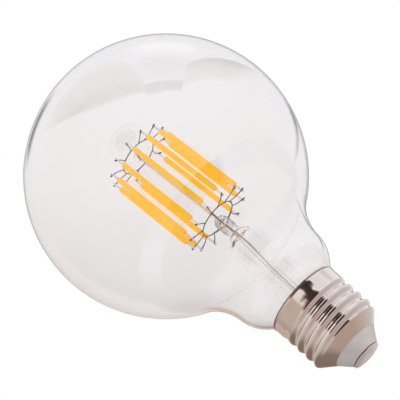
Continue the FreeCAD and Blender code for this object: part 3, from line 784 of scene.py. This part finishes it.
def room_material(name, nearest, farthest):
    """Glow with the colour and cover painted on a piece. Reflections from both faces of a glass wall see
    it; what passes through the whole lamp doesn't, nor what lies nearer or farther than two distances."""
    material = bpy.data.materials.new(name)
    material.use_nodes = True
    material.cycles.emission_sampling = "NONE"
    tree = material.node_tree
    tree.nodes.clear()
    painted = tree.nodes.new("ShaderNodeVertexColor")
    painted.layer_name = "glow"
    light = tree.nodes.new("ShaderNodeEmission")
    clear = tree.nodes.new("ShaderNodeBsdfTransparent")
    cover = tree.nodes.new("ShaderNodeMixShader")
    output = tree.nodes.new("ShaderNodeOutputMaterial")
    path = tree.nodes.new("ShaderNodeLightPath")
    depth = path.outputs["Ray Depth"]
    length = path.outputs["Ray Length"]
    shown = kept_where(tree, painted.outputs["Alpha"], depth, "LESS_THAN", ROOM_BOUNCES)
    shown = kept_where(tree, shown, length, "GREATER_THAN", nearest)
    shown = kept_where(tree, shown, length, "LESS_THAN", farthest)
    tree.links.new(painted.outputs["Color"], light.inputs["Color"])
    tree.links.new(shown, cover.inputs["Fac"])
    tree.links.new(clear.outputs["BSDF"], cover.inputs[1])
    tree.links.new(light.outputs["Emission"], cover.inputs[2])
    tree.links.new(cover.outputs["Shader"], output.inputs["Surface"])
    return material


def room_piece(name, points, faces, colours, place, nearest=0.0, farthest=ROOM_REACH):
    """Part of the room, with a colour and a cover for each of its points."""
    mesh = bpy.data.meshes.new(name)
    mesh.from_pydata(points, [], faces)
    glow = mesh.color_attributes.new("glow", "FLOAT_COLOR", "POINT")
    for item, colour in zip(glow.data, colours):
        item.color = colour
    mesh.materials.append(room_material(name, nearest, farthest))
    piece = bpy.data.objects.new(name, mesh)
    bpy.context.scene.collection.objects.link(piece)
    piece.matrix_world = place
    piece.visible_camera = False
    piece.visible_diffuse = False
    piece.visible_shadow = False


def grid_faces(rows, columns, closed=False):
    """Faces between rows of points, each row open or closed round."""
    width = columns if closed else columns + 1
    faces = []
    for row in range(rows):
        for column in range(columns):
            low = row * width + column
            after = row * width + (column + 1) % width
            faces.append([low, after, after + width, low + width])
    return faces


def between(stops, value):
    """Colour at a value on a list of (value, colour) stops."""
    for (low, first), (high, last) in zip(stops, stops[1:]):
        if value <= high:
            share = max(0.0, (value - low) / (high - low))
            return tuple(a + (b - a) * share for a, b in zip(first, last))
    return stops[-1][1]


def one_tone(colour):
    """Stops that give the same colour everywhere."""
    return (0.0, colour), (1.0, colour)


def soft_edges(start, end, low, high):
    """Cover that fades out near a patch's edges, by the share of each edge."""
    def cover(along, across):
        ends = smooth(0, start, along) * smooth(0, end, 1 - along)
        return ends * smooth(0, low, across) * smooth(0, high, 1 - across)
    return cover


# Walls: white above, warm towards the table below, and a pale backdrop behind the lamp. They are darker
# straight behind it, round the viewer and in one lower corner. Places are shares of the room's radius.
WALL_ROWS = 90
WALL_SEGMENTS = 180
POLE_GAP = 0.001
WALL_TONES = (
    (-1.0, (0.22, 0.16, 0.12)),
    (-0.6, (0.46, 0.38, 0.33)),
    (-0.35, (0.67, 0.59, 0.53)),
    (-0.1, (0.80, 0.74, 0.70)),
    (0.4, (0.88, 0.81, 0.76)),
    (0.85, (1.0, 1.02, 1.07)),
    (1.0, (1.0, 1.02, 1.07)),
)
BACKDROP_TONES = ((-0.4, (0.80, 0.72, 0.70)), (0.1, (0.92, 0.92, 0.94)))
BACKDROP_DEPTH = (0.1, -0.6)
BACKDROP_RISE = (-0.6, 0.2)
BACKDROP_MIDDLE = (-0.42, -0.62)
BACKDROP_COVER = 0.8
BEHIND_DIM = 0.5
BEHIND_DEPTH = (-0.86, -0.95)
BEHIND_RISE = (-0.45, 0.0)
VIEWER_DIM = 0.4
VIEWER_DEPTH = (0.86, 0.97)
CORNER_DIM = 0.3
CORNER_SIDE = (0.1, 0.5)
CORNER_DROP = (-0.25, -0.5)


def wall_colour(point):
    tone = between(WALL_TONES, point.y)
    backdrop = between(BACKDROP_TONES, point.y)
    share = smooth(*BACKDROP_DEPTH, point.z) * smooth(*BACKDROP_RISE, point.y)
    share = max(share, BACKDROP_COVER * smooth(*BACKDROP_MIDDLE, point.z))
    light = 1 - BEHIND_DIM * smooth(*BEHIND_DEPTH, point.z) * smooth(*BEHIND_RISE, point.y)
    light -= VIEWER_DIM * smooth(*VIEWER_DEPTH, point.z)
    light *= 1 - CORNER_DIM * smooth(*CORNER_SIDE, point.x) * smooth(*CORNER_DROP, point.y)
    return (*(light * (a + (b - a) * share) for a, b in zip(tone, backdrop)), 1)


def room_walls():
    """Ball round the lamp, whose poles are above and below it."""
    points = []
    colours = []
    for row in range(WALL_ROWS + 1):
        rise = math.pi * (row + POLE_GAP) / (WALL_ROWS + 2 * POLE_GAP) - math.pi / 2
        across = math.cos(rise)
        for step in range(WALL_SEGMENTS):
            turn = TAU * step / WALL_SEGMENTS
            point = Vector((across * math.cos(turn), math.sin(rise), across * math.sin(turn)))
            points.append(point * ROOM_R)
            colours.append(wall_colour(point))
    return points, grid_faces(WALL_ROWS, WALL_SEGMENTS, closed=True), colours


room_piece("walls", *room_walls(), ROOM_PLACE)

PATCH_STEPS = 24


def room_patch(name, turns, far, near, radius, tones, fades):
    """Patch of wall from one turn about the view line to another, counted clockwise from up. Its depth
    towards the viewer runs from one line to another, far(t) and near(t) at a share t of the turns, with
    tones by the share of the way between them."""
    cover = soft_edges(*fades)
    points = []
    colours = []
    for row in range(PATCH_STEPS + 1):
        along = row / PATCH_STEPS
        turn = math.radians(part_way(turns, along))
        depths = (far(along), near(along))
        for column in range(PATCH_STEPS + 1):
            across = column / PATCH_STEPS
            depth = part_way(depths, across)
            reach = math.sqrt(1 - depth * depth)
            points.append(Vector((reach * math.sin(turn), reach * math.cos(turn), depth)) * radius)
            colours.append((*between(tones, across), cover(along, across)))
    room_piece(name, points, grid_faces(PATCH_STEPS, PATCH_STEPS), colours, ROOM_PLACE)


UMBER = (0.10, 0.03, 0.0)
DUN = (0.25, 0.17, 0.13)
PALE = (1.2, 1.22, 1.3)
SLATE = (0.66, 0.67, 0.70)
# Ceiling panels with dark gaps between them
room_patch(
    "left_panel",
    turns=(-72, -13),
    far=lambda t: -0.58 + 0.78 * t ** 9,
    near=lambda t: 0.37 - (1 - t) ** 3,
    radius=1.42,
    tones=((0.0, (0.85, 0.80, 0.80)), (0.55, (0.50, 0.42, 0.39)), (0.82, UMBER), (1.0, UMBER)),
    fades=(0.3, 0.03, 0.15, 0.16)
)
room_patch(
    "middle_gap",
    turns=(-14.5, 10),
    far=lambda t: 0.20 - 0.055 * t,
    near=lambda t: 0.43 - 0.08 * t,
    radius=1.41,
    tones=one_tone((0.03, 0.0, 0.0)),
    fades=(0.03, 0.03, 0.1, 0.3)
)
room_patch(
    "middle_panel",
    turns=(-22, 14),
    far=lambda t: -0.75,
    near=lambda t: 0.17,
    radius=1.43,
    tones=((0.0, PALE), (0.3, PALE), (0.6, SLATE), (1.0, SLATE)),
    fades=(0.35, 0.2, 0.2, 0.05)
)
room_patch(
    "right_panel",
    turns=(9, 40),
    far=lambda t: -0.12 - 0.78 * t ** 0.62,
    near=lambda t: 0.33 - 0.62 * t,
    radius=1.41,
    tones=((0.0, DUN), (0.12, DUN), (0.4, (0.5, 0.43, 0.40)), (1.0, (0.65, 0.58, 0.56))),
    fades=(0.05, 0.45, 0.06, 0.3)
)
# Dark room past the two sides of the backdrop
room_patch(
    "left_side",
    turns=(-86, -50),
    far=lambda t: -0.90,
    near=lambda t: -0.74,
    radius=1.40,
    tones=one_tone((0.06, 0.06, 0.05)),
    fades=(0.35, 0.35, 0.3, 0.4)
)
room_patch(
    "right_side",
    turns=(48, 86),
    far=lambda t: -0.97 + 0.45 * t ** 2.2,
    near=lambda t: -0.85 + 0.45 * t ** 2.2,
    radius=1.40,
    tones=one_tone((0.2, 0.17, 0.16)),
    fades=(0.35, 0.35, 0.3, 0.5)
)

# Cards close to the cap, by their turn from the front towards +X and their height
CARD_PLACE = Matrix.Translation((0, 0, 0.018))
CARD_R = 0.14
CARD_GAP = 0.001
CARD_NEAREST = 0.124
CARD_FARTHEST = 0.142
CARD_STEPS = 40
CAP_CARD_HEIGHTS = (
    -40, -32, -25, -15, -5, 4, 10, 14, 16.5, 16.9, 17.1, 17.3, 17.4, 17.5, 17.6, 17.7, 17.8, 17.9,
    18, 18.2, 18.4, 18.6, 18.8, 19, 19.4, 20, 20.4, 22, 26, 32, 40, 46, 53, 60,
)
CAP_CARD_EDGES = (
    (-40, (-26, 46)),
    (16.5, (-26, 46)),
    (16.9, (0, 44)),
    (17.3, (2, 40)),
    (17.5, (-8, 38)),
    (17.7, (-18, 37)),
    (17.9, (9, 39)),
    (18.4, (14, 51)),
    (19.0, (10, 51)),
    (20.4, (4, 46)),
    (60, (4, 46)),
)
BROWN = (0.05, 0.035, 0.028)
CAP_CARD_TONES = ((0.0, (0.20, 0.06, 0.04)), (0.35, BROWN), (1.0, BROWN))
CAP_CARD_FOOT = (-40, -25)
CAP_CARD_HEAD = (60, 45)
CAP_CARD_LEFT = 0.16
CAP_CARD_RIGHT = 0.1


def aim(turn, height, radius):
    """Point at a turn and a height round a card's centre."""
    turn = math.radians(turn)
    rise = math.radians(height)
    level = math.cos(rise)
    return Vector((level * math.sin(turn), -level * math.cos(turn), math.sin(rise))) * radius


def cap_card():
    """Dark card in front of the cap, whose two edges change with the height."""
    points = []
    colours = []
    for height in CAP_CARD_HEIGHTS:
        edges = between(CAP_CARD_EDGES, height)
        ends = smooth(*CAP_CARD_FOOT, height) * smooth(*CAP_CARD_HEAD, height)
        for column in range(CARD_STEPS + 1):
            share = column / CARD_STEPS
            points.append(aim(part_way(edges, share), height, CARD_R))
            cover = ends * smooth(0, CAP_CARD_LEFT, share) * smooth(0, CAP_CARD_RIGHT, 1 - share)
            colours.append((*between(CAP_CARD_TONES, share), cover))
    faces = grid_faces(len(CAP_CARD_HEIGHTS) - 1, CARD_STEPS)
    room_piece("cap_card", points, faces, colours, CARD_PLACE, CARD_NEAREST)


def side_card(name, turns, heights, layer, tones, fades, farthest):
    """Card between two turns and two heights, some layers outside the cap card, with tones by height."""
    radius = CARD_R + layer * CARD_GAP
    cover = soft_edges(*fades)
    points = []
    colours = []
    for row in range(CARD_STEPS + 1):
        rise = row / CARD_STEPS
        height = part_way(heights, rise)
        tone = between(tones, height)
        for column in range(CARD_STEPS + 1):
            share = column / CARD_STEPS
            points.append(aim(part_way(turns, share), height, radius))
            colours.append((*tone, cover(share, rise)))
    faces = grid_faces(CARD_STEPS, CARD_STEPS)
    room_piece(name, points, faces, colours, CARD_PLACE, CARD_NEAREST, farthest)


cap_card()
# Brown table below and behind the cap, and its paler top in front of the cone
side_card(
    "table_card",
    turns=(-172, -98),
    heights=(-65, 30),
    layer=0,
    tones=(
        (-40, (0.27, 0.20, 0.155)),
        (-12, (0.22, 0.165, 0.14)),
        (0, (0.28, 0.21, 0.17)),
        (10, (0.56, 0.44, 0.37)),
        (30, (0.56, 0.44, 0.37)),
    ),
    fades=(0.08, 0.4, 0.21, 0.063),
    farthest=ROOM_REACH
)
side_card(
    "top_card",
    turns=(-122, 165),
    heights=(-88, 4),
    layer=1,
    tones=(
        (-66, (0.47, 0.355, 0.305)),
        (-50, (0.55, 0.45, 0.41)),
        (-30, (0.62, 0.56, 0.55)),
        (4, (0.70, 0.65, 0.64)),
    ),
    fades=(0.18, 0.06, 0.01, 0.12),
    farthest=CARD_FARTHEST
)
# Two panels beside the skirt
side_card(
    "grey_card",
    turns=(42, 100),
    heights=(15.5, 22),
    layer=2,
    tones=one_tone((0.86, 0.82, 0.81)),
    fades=(0.05, 0.5, 0.1, 0.1),
    farthest=CARD_FARTHEST
)
side_card(
    "beige_card",
    turns=(-100, -12),
    heights=(15.5, 22),
    layer=3,
    tones=one_tone((0.58, 0.47, 0.41)),
    fades=(0.4, 0.1, 0.1, 0.1),
    farthest=CARD_FARTHEST
)

# Floor
FLOOR_SIZE = 4.0
FLOOR_Z = -0.3
FLOOR = plain_material(
    "floor", pale=(0.86, 0.86, 0.86), dark=(0.84, 0.84, 0.84), rough=(0.6, 0.7), scale=20, depth=0.0001
)
floor_corners = [
    (x * FLOOR_SIZE, y * FLOOR_SIZE, FLOOR_Z) for x, y in ((-1, -1), (1, -1), (1, 1), (-1, 1))
]
floor_mesh = bpy.data.meshes.new("floor")
floor_mesh.from_pydata(floor_corners, [], [(0, 1, 2, 3)])
floor_mesh.materials.append(FLOOR)
floor = bpy.data.objects.new("floor", floor_mesh)
floor.visible_camera = False
floor.visible_glossy = False
floor.visible_transmission = False
bpy.context.scene.collection.objects.link(floor)

# World: white wherever it is seen, directly, through the glass or mirrored; plain soft light elsewhere
SOFT_COLOUR = (1, 0.99, 0.98, 1)
SOFT_LIGHT = 0.75
WHITE = (1, 1, 1, 1)
world = bpy.data.worlds.new("studio")
bpy.context.scene.world = world
world.use_nodes = True
tree = world.node_tree
tree.nodes.clear()
path = tree.nodes.new("ShaderNodeLightPath")
seen = tree.nodes.new("ShaderNodeMath")
seen.operation = "MAXIMUM"
seen_all = tree.nodes.new("ShaderNodeMath")
seen_all.operation = "MAXIMUM"
soft = tree.nodes.new("ShaderNodeBackground")
soft.inputs["Color"].default_value = SOFT_COLOUR
soft.inputs["Strength"].default_value = SOFT_LIGHT
white = tree.nodes.new("ShaderNodeBackground")
white.inputs["Color"].default_value = WHITE
white.inputs["Strength"].default_value = 1.0
mix = tree.nodes.new("ShaderNodeMixShader")
output = tree.nodes.new("ShaderNodeOutputWorld")
tree.links.new(path.outputs["Is Camera Ray"], seen.inputs[0])
tree.links.new(path.outputs["Is Glossy Ray"], seen.inputs[1])
tree.links.new(seen.outputs["Value"], seen_all.inputs[0])
tree.links.new(path.outputs["Is Transmission Ray"], seen_all.inputs[1])
tree.links.new(seen_all.outputs["Value"], mix.inputs["Fac"])
tree.links.new(soft.outputs["Background"], mix.inputs[1])
tree.links.new(white.outputs["Background"], mix.inputs[2])
tree.links.new(mix.outputs["Shader"], output.inputs["Surface"])

# Key light: one large soft disc
KEY_PLACE = Vector((0.7, -0.6, 0.5))
KEY_TARGET = Vector((0, 0, 0.07))
KEY_SIZE = 0.5
KEY_POWER = 6.0
key_data = bpy.data.lights.new("key", "AREA")
key_data.shape = "DISK"
key_data.size = KEY_SIZE
key_data.energy = KEY_POWER
key = bpy.data.objects.new("key", key_data)
bpy.context.scene.collection.objects.link(key)
key.location = KEY_PLACE
key.rotation_euler = (KEY_TARGET - KEY_PLACE).to_track_quat("-Z", "Y").to_euler()
key.visible_camera = False
key.visible_glossy = False
key.visible_transmission = False

# Light passes through several walls of glass before it is seen.
GLASS_BOUNCES = 32
MIRROR_BOUNCES = 12
scene = bpy.context.scene
scene.view_settings.view_transform = "Standard"
scene.cycles.max_bounces = GLASS_BOUNCES
scene.cycles.transmission_bounces = GLASS_BOUNCES
scene.cycles.glossy_bounces = MIRROR_BOUNCES
scene.cycles.transparent_max_bounces = GLASS_BOUNCES
